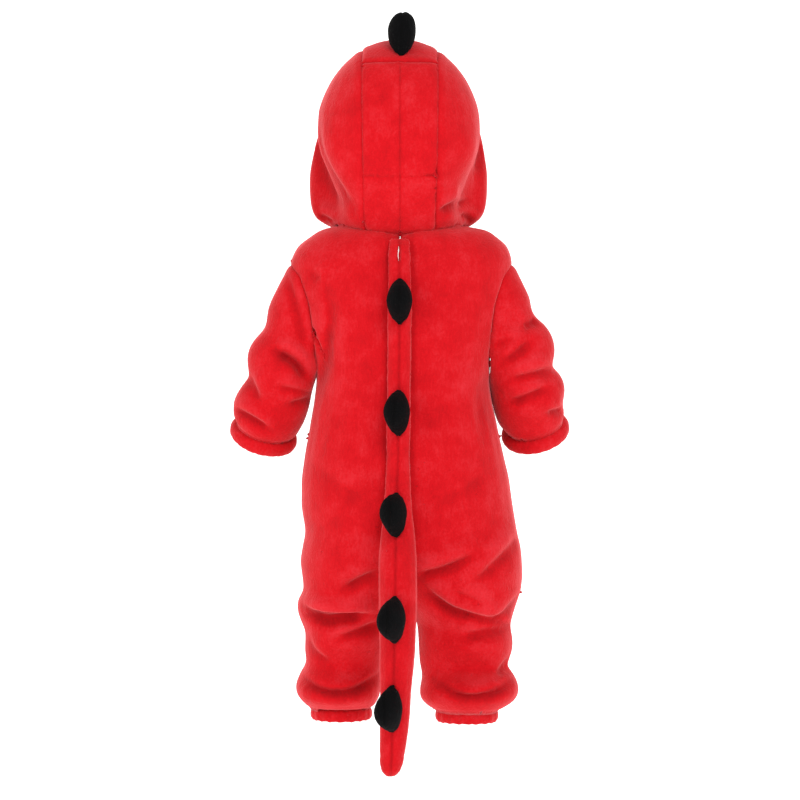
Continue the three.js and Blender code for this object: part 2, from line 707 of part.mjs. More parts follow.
// Zip slider and pull tab, in the slider's own frame: x across, u up the chest, n out of it.
const SLIDER = { y: -66.2, z: -23.5, lean: 31 };
const SLIDER_BODY = { halfWidth: 4, half: 5.5, back: -3.4, face: 0.9 };
const BRIDGE = { halfWidth: 1, half: 3.6, top: 4.5, holeHalf: 2.4, holeTop: 3.3 };
const PULL = { pivot: -0.9, out: 2.1, bar: 0.75, halfWidth: 3.2, arm: 1.3, length: 22, thick: 1.2 };
const sliderLean = THREE.MathUtils.degToRad(SLIDER.lean);
const inSliderFrame = new THREE.Matrix4()
  .makeBasis(
    new THREE.Vector3(1, 0, 0),
    new THREE.Vector3(0, Math.sin(sliderLean), Math.cos(sliderLean)),
    new THREE.Vector3(0, -Math.cos(sliderLean), Math.sin(sliderLean)),
  )
  .setPosition(0, SLIDER.y, SLIDER.z);
const blockOf = (...limits) => solidOf(blockGeometry(...limits).applyMatrix4(inSliderFrame));

function sliderOf() {
  const { halfWidth, half, back, face } = SLIDER_BODY;
  const shield = new THREE.Shape([
    new THREE.Vector2(-halfWidth, half),
    new THREE.Vector2(-halfWidth, 0.5),
    new THREE.Vector2(-halfWidth * 0.6, -half),
    new THREE.Vector2(halfWidth * 0.6, -half),
    new THREE.Vector2(halfWidth, 0.5),
    new THREE.Vector2(halfWidth, half),
  ]);
  const plate = solidOf(
    new THREE.ExtrudeGeometry(shield, { depth: face - back, bevelEnabled: false })
      .translate(0, 0, back)
      .applyMatrix4(inSliderFrame),
  );
  const arch = blockOf(
    -BRIDGE.halfWidth, BRIDGE.halfWidth, -BRIDGE.half, BRIDGE.half, face - 0.5, BRIDGE.top,
  );
  const hole = blockOf(-3, 3, -BRIDGE.holeHalf, BRIDGE.holeHalf, face, BRIDGE.holeTop);
  return plate.add(arch.subtract(hole));
}

function pullOf() {
  const { pivot, out, bar, halfWidth, arm, length, thick } = PULL;
  const rod = solidOf(
    new THREE.CylinderGeometry(bar, bar, 2 * halfWidth, 12)
      .rotateZ(Math.PI / 2)
      .translate(0, pivot, out)
      .applyMatrix4(inSliderFrame),
  );
  const low = out - thick / 2;
  const high = out + thick / 2;
  const loopEnd = pivot - 6.5;
  const arms = blockOf(-halfWidth, halfWidth, pivot - length, pivot, low, high);
  const eye = blockOf(-halfWidth + arm, halfWidth - arm, loopEnd, pivot + 1, low - 1, high + 1);
  const tip = blockOf(-1.3, 1.3, pivot - length + 3, pivot - length + 5.5, low - 1, high + 1);
  return arms.subtract(eye).add(rod).subtract(tip);
}

const garment = new THREE.Group();
const put = (name, solid, material) => garment.add(meshOf(name, solid, material));

panels.forEach(([name, solid]) => put(name, solid, RED));
Object.entries(SLEEVES).forEach(([side, sleeve]) => {
  const wall = sleeveAt(sleeve, 0, false).subtract(sleeveAt(sleeve, CLOTH, true)).subtract(bodyClear);
  put(`sleeve_${side}`, wall, RED);
  put(`cuff_${side}`, cuffOf(sleeve), RED);
});
Object.entries(HALVES).forEach(([side, half]) => {
  put(`ankle_band_${side}`, bandOf(half), RED);
  put(`hood_side_${side}`, hoodSides.intersect(sideOfMiddle[side]), RED);
  put(`hood_back_${side}`, hoodBack.intersect(sideOfMiddle[side]), RED);
  put(`hood_nape_${side}`, nape.intersect(sideOfMiddle[side]), RED);
  put(`zip_tape_${side}`, tape.intersect(sideOfMiddle[side]), WEBBING);
});
put("hood_crown", crown, RED);
put("spine_strip", spineStrip, RED);
put("slit_filling", slitFilling, WHITE);
put("tail", tail, RED);
SPIKES.forEach((row) => put(row.name, spikeOf(row).subtract(carriers), BLACK));
put("zip_slider", sliderOf(), METAL);
put("zip_pull", pullOf(), METAL);

export default garment;
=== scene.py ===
# %% [markdown]
# # A toddler's hooded dragon onesie
#
# This lesson dresses a finished frame: the walls of a plush one-piece, cut, hollow and in the pose it is
# worn in. The frame gives every piece its place and size. What it leaves out is what makes cloth look like
# cloth: smooth curves, creases, seams that sink into the pile, and the pile itself.
# Sizes on the garment are in millimetres, and Blender works in metres.

# %% Load the frame
import math

import bmesh
import bpy
import numpy as np
from mathutils import Matrix, Vector
from mathutils.bvhtree import BVHTree
from mathutils.kdtree import KDTree


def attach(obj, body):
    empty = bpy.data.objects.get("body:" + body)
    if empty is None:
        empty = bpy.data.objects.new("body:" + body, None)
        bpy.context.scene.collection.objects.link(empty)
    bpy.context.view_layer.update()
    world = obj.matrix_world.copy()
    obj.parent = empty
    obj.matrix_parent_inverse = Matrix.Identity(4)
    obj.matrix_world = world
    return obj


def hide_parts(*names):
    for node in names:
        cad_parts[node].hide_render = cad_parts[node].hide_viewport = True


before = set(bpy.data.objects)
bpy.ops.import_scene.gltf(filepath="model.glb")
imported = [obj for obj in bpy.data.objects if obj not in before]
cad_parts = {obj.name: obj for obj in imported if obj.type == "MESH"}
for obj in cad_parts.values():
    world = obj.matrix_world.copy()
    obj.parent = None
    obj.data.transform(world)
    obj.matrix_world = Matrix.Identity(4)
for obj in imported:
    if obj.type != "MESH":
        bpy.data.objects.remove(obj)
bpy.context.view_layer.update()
MM = 0.001

# %% [markdown]
# ## Camera, floor and light
#
# The garment is looked at straight from behind, from far enough away that the picture has little
# perspective: 3 m suits a standing child. A window of 912 mm at that distance fills the square picture.
# The floor runs up behind the garment in one sweep, as studio paper does, so that no horizon shows.

# %% Camera
DISTANCE = 3.0
WINDOW = 0.912  # what the picture spans at the garment
EYE_HEIGHT = -0.182
camera = bpy.data.objects.new("camera", bpy.data.cameras.new("camera"))
bpy.context.scene.collection.objects.link(camera)
camera.data.sensor_width = 36
camera.data.lens = camera.data.sensor_width * DISTANCE / WINDOW
camera.location = (0, DISTANCE, EYE_HEIGHT)
camera.rotation_euler = (math.radians(90), 0, math.radians(180))
bpy.context.scene.camera = camera
print("lens:", round(camera.data.lens, 1), "mm")

# %% A helper that makes an object from a bmesh


def make_object(name, bm, smooth=True):
    mesh = bpy.data.meshes.new(name)
    for face in bm.faces:
        face.smooth = smooth
    bm.to_mesh(mesh)
    bm.free()
    made = bpy.data.objects.new(name, mesh)
    bpy.context.scene.collection.objects.link(made)
    return made


# %% [markdown]
# A material is a small graph of nodes. One helper adds a node with its settings and links, and one turns
# the hex colours that a picture editor shows into the linear values that shaders add up.

# %% Material helpers


def linear(hex_colour):
    channels = [int(hex_colour[i : i + 2], 16) / 255 for i in (1, 3, 5)]
    return (*[c / 12.92 if c <= 0.04045 else ((c + 0.055) / 1.055) ** 2.4 for c in channels], 1)


def add_node(tree, kind, values=None, links=None, **settings):
    node = tree.nodes.new(kind)
    for name, value in settings.items():
        setattr(node, name, value)
    for name, value in (values or {}).items():
        node.inputs[name].default_value = value
    for name, socket in (links or {}).items():
        tree.links.new(socket, node.inputs[name])
    return node


def new_material(name):
    material = bpy.data.materials.new(name)
    material.use_nodes = True
    tree = material.node_tree
    tree.nodes.clear()
    surface = add_node(tree, "ShaderNodeBsdfPrincipled")
    add_node(tree, "ShaderNodeOutputMaterial", links={"Surface": surface.outputs["BSDF"]})
    return material, tree, surface


# %% Floor
FLOOR = -0.622  # the height of the soles of a child who wears the garment
paper, _, paper_surface = new_material("studio_paper")
paper_surface.inputs["Base Color"].default_value = linear("#FBFBFA")
paper_surface.inputs["Roughness"].default_value = 1.0
paper_surface.inputs["Emission Color"].default_value = linear("#FFFFFF")
paper_surface.inputs["Emission Strength"].default_value = 0.52

SWEEP = 1.0  # radius of the curve between floor and wall
bm = bmesh.new()
edge = bmesh.ops.create_vert(bm, co=(-6, 4.5, FLOOR))["vert"]
edge += bmesh.ops.create_vert(bm, co=(6, 4.5, FLOOR))["vert"]
front = bm.edges.new(edge)
far = bmesh.ops.extrude_edge_only(bm, edges=[front])["geom"]
bmesh.ops.translate(bm, verts=[g for g in far if isinstance(g, bmesh.types.BMVert)], vec=(0, -7.5, 0))
last = [g for g in far if isinstance(g, bmesh.types.BMEdge)]
spun = bmesh.ops.spin(
    bm,
    geom=last,
    cent=(0, -3.0, FLOOR + SWEEP),
    axis=(1, 0, 0),
    dvec=(0, 0, 0),
    angle=-math.pi / 2,
    steps=16,
)["geom_last"]
wall = bmesh.ops.extrude_edge_only(bm, edges=[g for g in spun if isinstance(g, bmesh.types.BMEdge)])["geom"]
bmesh.ops.translate(bm, verts=[g for g in wall if isinstance(g, bmesh.types.BMVert)], vec=(0, 0, 5))
floor = make_object("studio_floor", bm)
floor.data.materials.append(paper)
print("floor height:", FLOOR)

# %% Light
world = bpy.data.worlds.new("studio")
world.use_nodes = True
world.node_tree.nodes["Background"].inputs["Color"].default_value = linear("#FFFFFF")
world.node_tree.nodes["Background"].inputs["Strength"].default_value = 0.66
bpy.context.scene.world = world
bpy.context.scene.view_settings.view_transform = "Standard"

SOFT_BOXES = [
    # name, place, what it points at, side of the square, watts
    ("key", (-0.9, 2.4, 1.7), (0, 0, -0.1), 1.3, 40),
    ("fill", (2.2, 1.9, 0.5), (0, 0, -0.2), 1.6, 20),
    ("front", (0.4, -2.6, 1.5), (0, 0, -0.1), 2.0, 22),
]
for name, place, target, side, watts in SOFT_BOXES:
    light = bpy.data.lights.new(name, "AREA")
    light.size = side
    light.energy = watts
    lamp = bpy.data.objects.new(name, light)
    lamp.location = place
    lamp.rotation_euler = (Vector(target) - Vector(place)).to_track_quat("-Z", "Y").to_euler()
    bpy.context.scene.collection.objects.link(lamp)
print("lights:", [name for name, *_ in SOFT_BOXES])

# %% [markdown]
# ## Plush
#
# The cloth is flannel plush: a knitted polyester base with a dense, short, upright pile. Three things
# show from a few steps away. The pile parts in soft patches where a hand has brushed it. It is lighter
# where it stands up to the light, on the top of a fold, and deep red down in a crease. And every tuft
# scatters light sideways, so the outline of a rounded form looks paler than its middle.
# The first is noise, the second is painted light and shade from a value stored on the cloth when its creases
# are made, darker in troughs and seams and lighter on fold ridges, and the third is sheen.

# %% Plush material
PATCH = 26  # mm across a brushed patch
TUFT = 2.4  # mm across a clump of tufts, coarser than the real 0.5 mm so that it shows
STROKE = 9  # mm along a stroke in the pile


def per_metre(millimetres):
    return 1 / (millimetres * MM)


def make_plush(name, deep, middle, light, sheen, sheen_weight):
    material, tree, surface = new_material(name)
    place = add_node(tree, "ShaderNodeTexCoord").outputs["Object"]
    brushed = add_node(
        tree,
        "ShaderNodeTexNoise",
        {"Scale": per_metre(PATCH), "Detail": 3, "Roughness": 0.6},
        {"Vector": place},
    )
    tufts = add_node(
        tree,
        "ShaderNodeTexNoise",
        {"Scale": per_metre(TUFT), "Detail": 2, "Roughness": 0.7},
        {"Vector": place},
    )
    lengthened = add_node(
        tree,
        "ShaderNodeMapping",
        {"Scale": (1, 1, TUFT / STROKE), "Rotation": (0.1, 0.25, 0)},
        {"Vector": place},
    )
    strokes = add_node(
        tree,
        "ShaderNodeTexNoise",
        {"Scale": per_metre(TUFT), "Detail": 2, "Distortion": 0.6},
        {"Vector": lengthened.outputs["Vector"]},
    )
    # The value stored on the cloth: painted shade in fold troughs and seams, painted highlight on fold
    # ridges, and darker stitch lines
    painted_shade_and_stitches = add_node(tree, "ShaderNodeAttribute", attribute_name="painted_shade_and_stitches")
    patchy = add_node(
        tree,
        "ShaderNodeMath",
        {1: 0.46, 2: -0.23},
        {0: brushed.outputs["Fac"]},
        operation="MULTIPLY_ADD",
    )
    speckled = add_node(
        tree,
        "ShaderNodeMath",
        {1: 0.18},
        {0: strokes.outputs["Fac"], 2: patchy.outputs["Value"]},
        operation="MULTIPLY_ADD",
    )
    dotted = add_node(
        tree,
        "ShaderNodeMath",
        {1: 0.26},
        {0: tufts.outputs["Fac"], 2: speckled.outputs["Value"]},
        operation="MULTIPLY_ADD",
    )
    level = add_node(
        tree,
        "ShaderNodeMath",
        links={0: dotted.outputs["Value"], 1: painted_shade_and_stitches.outputs["Fac"]},
        operation="ADD",
    )
    centred = add_node(tree, "ShaderNodeMath", {1: 0.22}, {0: level.outputs["Value"]}, operation="SUBTRACT")
    # Painted shade and highlight: the deep end shows in creases and the light end on fold ridges, mixed with
    # the pile's random patches
    ramp = add_node(tree, "ShaderNodeValToRGB", links={"Fac": centred.outputs["Value"]})
    ramp.color_ramp.elements[0].position = 0.05
    ramp.color_ramp.elements[0].color = linear(deep)
    ramp.color_ramp.elements[1].position = 0.95
    ramp.color_ramp.elements[1].color = linear(light)
    ramp.color_ramp.elements.new(0.5).color = linear(middle)
    fine = add_node(
        tree,
        "ShaderNodeBump",
        {"Strength": 0.55, "Distance": 0.8 * MM},
        {"Height": tufts.outputs["Fac"]},
    )
    relief = add_node(
        tree,
        "ShaderNodeBump",
        {"Strength": 0.45, "Distance": 1.2 * MM},
        {"Height": strokes.outputs["Fac"], "Normal": fine.outputs["Normal"]},
    )
    tree.links.new(ramp.outputs["Color"], surface.inputs["Base Color"])
    tree.links.new(relief.outputs["Normal"], surface.inputs["Normal"])
    surface.inputs["Roughness"].default_value = 0.95
    surface.inputs["Specular IOR Level"].default_value = 0.12
    surface.inputs["Sheen Weight"].default_value = sheen_weight
    surface.inputs["Sheen Roughness"].default_value = 0.42
    surface.inputs["Sheen Tint"].default_value = linear(sheen)
    return material


red_plush = make_plush("flannel_plush_red", "#8C040C", "#C20A15", "#D93A43", "#FF9094", 0.64)
black_plush = make_plush("flannel_plush_black", "#010101", "#020203", "#09090A", "#505058", 0.02)
print("plush scales in mm:", PATCH, TUFT, STROKE)

# %% [markdown]
# ## From wall to cloth
#
# Each cut piece comes as a thin wall of flat facets. The visible side of it is peeled off: a face belongs
# to it when it looks away from the limb inside, and when the wall behind it is thin. The skin is then
# divided until its edges are a few millimetres long, and smoothed, so the facets melt into one curve.
# Plain smoothing shrinks a tube a little each time. Each push inwards is therefore followed by a slightly
# longer push outwards, which leaves the large form alone and still wears the facets down.
# A cloth simulation would drape the pieces too, but it would lose the pose that the frame gives.

# %% Limbs inside the garment, which tell the outside of a wall from its inside
BODY_CORES = {
    "left": [(30, 0, -60), (45, 0, -380), (62, -2, -450), (67, -7, -540)],
    "right": [(-30, 0, -60), (-50, 0, -380), (-72, 8, -450), (-76, 22, -540)],
}
SLEEVE_CORES = {
    "left": [
        (87, 3, -13),
        (100, 4, -51),
        (117, 7, -103),
        (133, 2, -150),
        (146, -14, -188),
        (157, -31, -221),
    ],
    "right": [
        (-89, 3, -13),
        (-103, 4, -51),
        (-121, 7, -103),
        (-137, 2, -150),
        (-148, -14, -188),
        (-156, -31, -218),
    ],
}
HEAD_CORE = [(0, 4, 90), (0, 4, 130)]


def nearest_on_core(point, core):
    best = None
    for a, b in zip(core, core[1:]):
        a, b = Vector(a) * MM, Vector(b) * MM
        share = max(0.0, min(1.0, (point - a).dot(b - a) / (b - a).length_squared))
        place = a.lerp(b, share)
        if best is None or (point - place).length < (point - best).length:
            best = place
    return best


# %% A merged copy of a piece, and the outside of its wall
MERGE = 0.02  # mm
THICKEST = 6  # mm: a longer way through the wall means that a face is a cut edge
CENTRE = 0.6  # mm: a face so near the middle plane that looks sideways is the cut edge of a centre seam
SIDEWAYS = 0.8
NUDGE = 0.05  # mm that a ray starts below the face it leaves
PINHOLE = 8  # a hole with up to so many sides is closed
SPUR_ROUNDS = 4
SPUR_AREA = 12  # square mm
SPUR_ANGLE = math.radians(40)


def copy_of(node):
    bm = bmesh.new()
    bm.from_mesh(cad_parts[node].data)
    bmesh.ops.remove_doubles(bm, verts=bm.verts, dist=MERGE * MM)
    bmesh.ops.dissolve_degenerate(bm, edges=bm.edges, dist=MERGE * MM)
    bm.normal_update()
    return bm


def keep_largest(bm):
    """Drop the slivers that are left beside the skin."""
    groups, seen = [], set()
    for first in bm.faces:
        if first in seen:
            continue
        seen.add(first)
        group, waiting = [], [first]
        while waiting:
            face = waiting.pop()
            group.append(face)
            beside = [other for edge in face.edges for other in edge.link_faces if other not in seen]
            seen.update(beside)
            waiting += beside
        groups.append(group)
    groups.sort(key=len)
    bmesh.ops.delete(bm, geom=[face for group in groups[:-1] for face in group], context="FACES")


def trim_spurs(bm):
    """Drop the small sharp flaps on the outline, which would stick out of a seam as thorns."""
    for _ in range(SPUR_ROUNDS):
        spurs = []
        for v in bm.verts:
            if len(v.link_faces) == 1 and v.link_faces[0].calc_area() < SPUR_AREA * MM * MM:
                a, b = (e.other_vert(v).co - v.co for e in v.link_edges)
                if a.angle(b, 0) < SPUR_ANGLE and v.link_faces[0] not in spurs:
                    spurs.append(v.link_faces[0])
        bmesh.ops.delete(bm, geom=spurs, context="FACES")


def peel(node, core):
    bm = copy_of(node)
    tree = BVHTree.FromBMesh(bm)
    hidden = []
    for face in bm.faces:
        centre = face.calc_center_median()
        outward = face.normal.dot(centre - nearest_on_core(centre, core)) > 0
        through = tree.ray_cast(centre - face.normal * NUDGE * MM, -face.normal)[3]
        cut_edge = abs(face.normal.x) > SIDEWAYS and max(abs(v.co.x) for v in face.verts) < CENTRE * MM
        if not outward or through is None or through > THICKEST * MM or cut_edge:
            hidden.append(face)
    bmesh.ops.delete(bm, geom=hidden, context="FACES")
    keep_largest(bm)
    trim_spurs(bm)
    bmesh.ops.holes_fill(bm, edges=[e for e in bm.edges if e.is_boundary], sides=PINHOLE)
    bmesh.ops.triangulate(bm, faces=[f for f in bm.faces if len(f.verts) > 3])
    return bm


# %% Divide and smooth
ROUNDS = 6  # each round halves the edges, so this is enough for any piece here
# Points closer than this share of the longest edge are merged, so that no sliver folds over
CROWDED = 0.22  # on cloth
CROWDED_SOLID = 0.04  # on closed pieces, whose tips and rims have to stay
COARSE, MEDIUM = 12, 6  # mm, the longest edge in the first two stages
INWARDS, OUTWARDS = 0.5, -0.53
CORNER = math.radians(38)  # where an outline bends more than this, it is a corner and stays


def refine(bm, longest, crowded):
    for _ in range(ROUNDS):
        long_edges = [e for e in bm.edges if e.calc_length() > longest * MM]
        bmesh.ops.subdivide_edges(bm, edges=long_edges, cuts=1, use_grid_fill=True)
        bmesh.ops.triangulate(bm, faces=[f for f in bm.faces if len(f.verts) > 3])
    inside = [v for v in bm.verts if not v.is_boundary]
    bmesh.ops.remove_doubles(bm, verts=inside, dist=crowded * longest * MM)


def outline_chain(bm):
    """The points along the outline that may slide, each with its two neighbours on it."""
    chain = []
    for v in bm.verts:
        beside = [e.other_vert(v) for e in v.link_edges if e.is_boundary]
        if len(beside) == 2 and (v.co - beside[0].co).angle(beside[1].co - v.co, 0) < CORNER:
            chain.append((v, *beside))
    return chain


def even_out(bm, rounds):
    inside = [v for v in bm.verts if not v.is_boundary]
    chain = outline_chain(bm)
    every_way = dict(use_axis_x=True, use_axis_y=True, use_axis_z=True)
    for share in (INWARDS, OUTWARDS) * rounds:
        bmesh.ops.smooth_vert(bm, verts=inside, factor=share, **every_way)
        for v, place in [(v, v.co.lerp((a.co + b.co) / 2, share)) for v, a, b in chain]:
            v.co = place


def soften(bm, fine, rounds=8, crowded=CROWDED):
    refine(bm, COARSE, crowded)
    bmesh.ops.beautify_fill(bm, faces=bm.faces, edges=[e for e in bm.edges if not e.is_boundary])
    even_out(bm, rounds)
    refine(bm, MEDIUM, crowded)
    even_out(bm, rounds)
    refine(bm, fine, crowded)
    even_out(bm, rounds)


# %% [markdown]
# ## Folds
#
# A worn garment folds where the body bends. Each fold here is a line on the cloth with a trough
# beside a ridge: gravity pulls the slack above a crease down over it, so the ridge lies above and the
# trough below, steep under the ridge and gentle further down. The lines are given in millimetres, for
# the back and for the front.
# Depth, width and the height of the ridge differ from fold to fold, because even folds look printed.
# The back and the sleeves carry the creases that a worn one has at the knees, the seat and the elbows. The
# front has similar ones.

# %% Fold lines
# Each row: side it shows on (+1 back, -1 front), trough depth, width, ridge height, points as (x, z)
BODY_FOLDS = [
    # seat and back of the left leg
    (1, 5.0, 8, 3.0, [(22, -371), (49, -383), (64, -394)]),
    (1, 9.0, 8, 4.5, [(112, -412), (97, -421), (71, -423), (30, -421)]),
    (1, 6.0, 6, 2.0, [(104, -424), (84, -430), (61, -428), (36, -422)]),
    (1, 6.0, 7, 3.5, [(24, -432), (57, -443), (72, -449)]),
    (1, 2.5, 7, 1.5, [(104, -448), (100, -464), (78, -478)]),
    (1, 6.5, 7, 1.0, [(116, -493), (91, -506), (71, -509), (49, -506), (20, -491)]),
    # seat and back of the right leg
    (1, 6.0, 8, 4.0, [(-12, -377), (-44, -371), (-90, -351)]),
    (1, 4.0, 9, 4.0, [(-137, -334), (-96, -373), (-80, -384)]),
    (1, 4.0, 7, 2.5, [(-55, -393), (-96, -411)]),
    (1, 7.5, 8, 4.5, [(-22, -383), (-48, -411), (-79, -422), (-109, -429), (-133, -404)]),
    (1, 3.5, 6, 1.5, [(-106, -430), (-127, -438)]),
    (1, 4.5, 8, 3.0, [(-68, -447), (-96, -440), (-124, -442)]),
    (1, 3.0, 7, 2.0, [(-124, -473), (-108, -491)]),
    (1, 6.5, 7, 1.0, [(-38, -494), (-71, -513), (-102, -508), (-133, -493)]),
    # drape from the left armhole, and slack at the small of the back
    (1, 4.0, 8, 2.5, [(84, -56), (78, -83), (81, -111), (88, -154), (94, -182)]),
    (1, 2.5, 8, 1.5, [(101, -37), (90, -49)]),
    (1, 1.8, 12, 1.2, [(-98, -150), (-88, -185), (-92, -225)]),
    (1, 1.5, 12, 1.2, [(-100, -262), (-70, -285), (-35, -292)]),
    (1, 1.5, 12, 1.2, [(96, -255), (66, -281), (36, -290)]),
    # front of the legs
    (-1, 5.0, 9, 3.0, [(108, -372), (78, -386), (40, -392)]),
    (-1, 6.5, 8, 4.0, [(112, -424), (86, -434), (52, -431), (26, -420)]),
    (-1, 4.5, 8, 3.0, [(106, -458), (70, -468), (34, -463)]),
    (-1, 6.0, 7, 1.0, [(116, -494), (88, -505), (58, -506), (26, -494)]),
    (-1, 5.0, 9, 3.0, [(-124, -368), (-90, -386), (-44, -394)]),
    (-1, 6.5, 8, 4.0, [(-128, -416), (-98, -430), (-60, -428), (-30, -416)]),
    (-1, 4.5, 8, 3.0, [(-122, -452), (-88, -463), (-48, -458)]),
    (-1, 6.0, 7, 1.0, [(-132, -490), (-104, -503), (-70, -504), (-42, -490)]),
    # front of the body
    (-1, 3.0, 10, 2.0, [(-16, -330), (-48, -345), (-92, -338)]),
    (-1, 3.0, 10, 2.0, [(16, -334), (46, -349), (88, -340)]),
    (-1, 3.5, 9, 2.5, [(92, -50), (80, -84), (82, -124), (90, -170)]),
    (-1, 3.5, 9, 2.5, [(-96, -48), (-83, -86), (-86, -130), (-94, -172)]),
    (-1, 1.8, 12, 1.2, [(92, -236), (60, -256), (22, -262)]),
    (-1, 1.8, 12, 1.2, [(-98, -230), (-64, -252), (-24, -256)]),
]
SLEEVE_FOLDS = [
    # back of the left sleeve
    (1, 3.0, 7, 2.5, [(129, -38), (117, -73), (109, -108), (106, -131)]),
    (1, 8.0, 7, 4.5, [(142, -126), (122, -134), (110, -147), (104, -163)]),
    (1, 3.0, 7, 2.5, [(171, -153), (158, -184)]),
    (1, 4.0, 6, 2.5, [(138, -167), (96, -175)]),
    (1, 4.0, 6, 2.5, [(127, -186), (96, -180)]),
    (1, 4.5, 6, 3.0, [(190, -190), (161, -205), (146, -217)]),
    # back of the right sleeve
    (1, 4.5, 7, 2.5, [(-156, -90), (-138, -99)]),
    (1, 4.0, 7, 3.0, [(-106, -122), (-129, -111)]),
    (1, 5.0, 8, 3.5, [(-114, -142), (-149, -115)]),
    (1, 5.0, 8, 3.5, [(-122, -160), (-174, -147)]),
    (1, 5.5, 7, 3.5, [(-122, -186), (-168, -167)]),
    (1, 4.0, 6, 2.0, [(-187, -192), (-166, -197)]),
    # front of both
    (-1, 6.0, 8, 3.5, [(152, -112), (130, -126), (108, -122)]),
    (-1, 5.0, 8, 3.0, [(164, -146), (140, -158), (112, -152)]),
    (-1, 5.0, 7, 3.0, [(180, -184), (154, -192), (124, -184)]),
    (-1, 6.0, 8, 3.5, [(-154, -108), (-130, -124), (-110, -120)]),
    (-1, 5.0, 8, 3.0, [(-170, -148), (-142, -160), (-114, -150)]),
    (-1, 5.0, 7, 3.0, [(-180, -182), (-152, -192), (-126, -186)]),
]
HOOD_FOLDS = [
    (1, 5.0, 9, 2.0, [(92, 136), (92, 101), (81, 74), (66, 51), (52, 31)]),
    (1, 4.0, 6, 2.5, [(95, 30), (85, 27), (75, 18)]),
    (1, 5.5, 6, 3.5, [(-42, 28), (-58, 36), (-76, 46)]),
    (1, 4.0, 5, 2.0, [(-66, 26), (-75, 29), (-84, 20)]),
    (1, 4.0, 9, 2.0, [(-91, 120), (-93, 98), (-86, 76)]),
    (-1, 3.5, 8, 2.5, [(96, 40), (86, 62), (84, 92)]),
    (-1, 3.5, 8, 2.5, [(-94, 38), (-84, 60), (-82, 90)]),
]


def smooth_step(low, high, value):
    share = np.clip((value - low) / (high - low), 0, 1)
    return share * share * (3 - 2 * share)


def rounded(line):
    """Cut the corners of a line twice, so that a crease bends smoothly."""
    line = np.array(line, float)
    for _ in range(2):
        early, late = 0.75 * line[:-1] + 0.25 * line[1:], 0.25 * line[:-1] + 0.75 * line[1:]
        line = np.concatenate([line[:1], np.stack([early, late], 1).reshape(-1, 2), line[-1:]])
    return line[np.append(np.linalg.norm(np.diff(line, axis=0), axis=1) > 0.01, True)]


STEEP, GENTLE = 0.55, 1.05  # how far a trough spreads above and below its line, as a share of its width
LOOSE_END = 0.25  # share of a fold's depth that is left at its ends
RUN_OUT = 0.3  # share of a fold's length in which it fades


def fold_field(points, normals, folds):
    """How far each point moves out along its normal, in mm, for a list of fold lines."""
    total = np.zeros(len(points))
    flat = points[:, [0, 2]]
    for side, depth, width, ridge, line in folds:
        line = rounded(line)
        run = line[-1] - line[0]
        up = np.array([-run[1], run[0]]) / np.linalg.norm(run)
        if up[1] < 0 or (abs(up[1]) < 0.2 and up[0] < 0):
            up = -up
        lengths = np.linalg.norm(np.diff(line, axis=0), axis=1)
        starts = np.concatenate([[0], np.cumsum(lengths)])
        nearest = np.full(len(points), 1e9)
        across = np.zeros(len(points))
        along = np.zeros(len(points))
        for k, (a, b) in enumerate(zip(line, line[1:])):
            direction = (b - a) / lengths[k]
            reach = np.clip((flat - a) @ direction, 0, lengths[k])
            offset = flat - (a + reach[:, None] * direction)
            distance = np.linalg.norm(offset, axis=1)
            normal = np.array([-direction[1], direction[0]])
            normal = normal if normal @ up > 0 else -normal
            closer = distance < nearest
            nearest = np.where(closer, distance, nearest)
            across = np.where(closer, np.sign(offset @ normal) * distance, across)
            along = np.where(closer, starts[k] + reach, along)
        fade = RUN_OUT * starts[-1]
        taper = smooth_step(0, fade, along) * smooth_step(0, fade, starts[-1] - along)
        taper = LOOSE_END + (1 - LOOSE_END) * taper
        ends = np.minimum(along, starts[-1] - along) <= 0
        taper = np.where(ends, LOOSE_END * np.exp(-((nearest / width) ** 2)), taper)
        steepness = np.where(across > 0, STEEP * width, GENTLE * width)
        trough = -depth * np.exp(-((across / steepness) ** 2))
        above = ridge * np.exp(-(((across - 1.5 * width) / (1.2 * width)) ** 2))
        below = 0.3 * ridge * np.exp(-(((across + 2.1 * width) / (1.3 * width)) ** 2))
        facing = smooth_step(0.02, 0.45, normals[:, 1] * side)
        total += (trough + above + below) * taper * facing
    return total


print("folds on body, sleeves and hood:", len(BODY_FOLDS), len(SLEEVE_FOLDS), len(HOOD_FOLDS))

# %% [markdown]
# A seam pulls the cloth down and the pile closes over it, so a seam on plush is a soft groove with a
# slight swell on each side. The distance of every point to the outline of its piece gives both.
# Each outline also reaches a little over its neighbour, as a seam allowance does, so no light comes through.
# A slow, uneven swell over the whole cloth takes away the look of a turned form.

# %% Read and move points in mm, and store the painted shade


def read_points(mesh):
    points = np.empty(len(mesh.vertices) * 3)
    mesh.vertices.foreach_get("co", points)
    return points.reshape(-1, 3) / MM


def read_normals(mesh):
    normals = np.empty(len(mesh.vertices) * 3)
    mesh.vertices.foreach_get("normal", normals)
    return normals.reshape(-1, 3)


def move_points(mesh, points, painted_shade_and_stitches):
    mesh.vertices.foreach_set("co", (points * MM).ravel())
    layer = mesh.attributes.new("painted_shade_and_stitches", "FLOAT", "POINT")
    layer.data.foreach_set("value", painted_shade_and_stitches.astype(np.float32))
    mesh.update()


def uneven(points):
    """A slow wandering height between about -1 and 1, the same on every run."""
    x, y, z = points.T
    return (
        np.sin(x / 23.0 + 0.8 * np.sin(z / 31.0) + 1.3)
        + np.sin(y / 19.0 + z / 27.0 + 0.5)
        + np.sin(z / 17.0 + 0.7 * np.sin(x / 21.0) + y / 41.0)
    ) / 3


